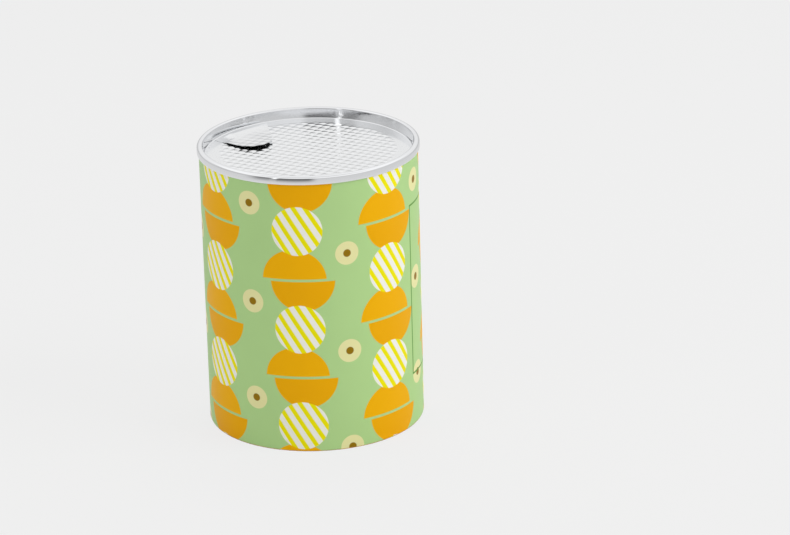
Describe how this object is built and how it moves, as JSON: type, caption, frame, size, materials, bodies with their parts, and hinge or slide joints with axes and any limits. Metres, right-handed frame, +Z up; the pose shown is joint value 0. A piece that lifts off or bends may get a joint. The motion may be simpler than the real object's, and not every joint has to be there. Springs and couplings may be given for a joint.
{
  "type": "composite can",
  "caption": "Round spiral-wound paper can with a printed wrap, an open bottom and a seamed metal ring closed by an embossed peel-off foil with a folded pull tab.",
  "frame": {"origin": "centre of the bottom cut edge, on the surface that the can stands on", "axes": "+Z up the can's axis, -Y towards the front of the label, +X to its right"},
  "size_m": [0.0844, 0.0844, 0.11],
  "materials": {
    "label_paper": "satin",
    "kraft_board": "matte",
    "liner_foil": "satin",
    "ring_sheet": "gloss",
    "compound": "matte",
    "peel_coating": "satin",
    "membrane_foil": "satin"
  },
  "bodies": {
    "can": {"printed_label": "label_paper", "outer_kraft_ply": "kraft_board", "middle_kraft_ply": "kraft_board", "inner_kraft_ply": "kraft_board", "foil_liner": "liner_foil", "end_ring": "ring_sheet", "seam_compound": "compound", "heat_seal_ring": "peel_coating"},
    "membrane": {"peel_membrane": "membrane_foil"},
    "tab": {"pull_tab": "membrane_foil"}
  },
  "joints": [
    {"name": "membrane_peel", "type": "slide", "parent": "can", "child": "membrane", "axis": [0, 0, 1], "range_m": [0, 0.03]},
    {"name": "tab_lift", "type": "hinge", "parent": "membrane", "child": "tab", "pos_m": [-0.0257, 0.02313, 0.10632], "axis": [-0.7581, -0.6521, 0], "range_deg": [0, 100]}
  ]
}
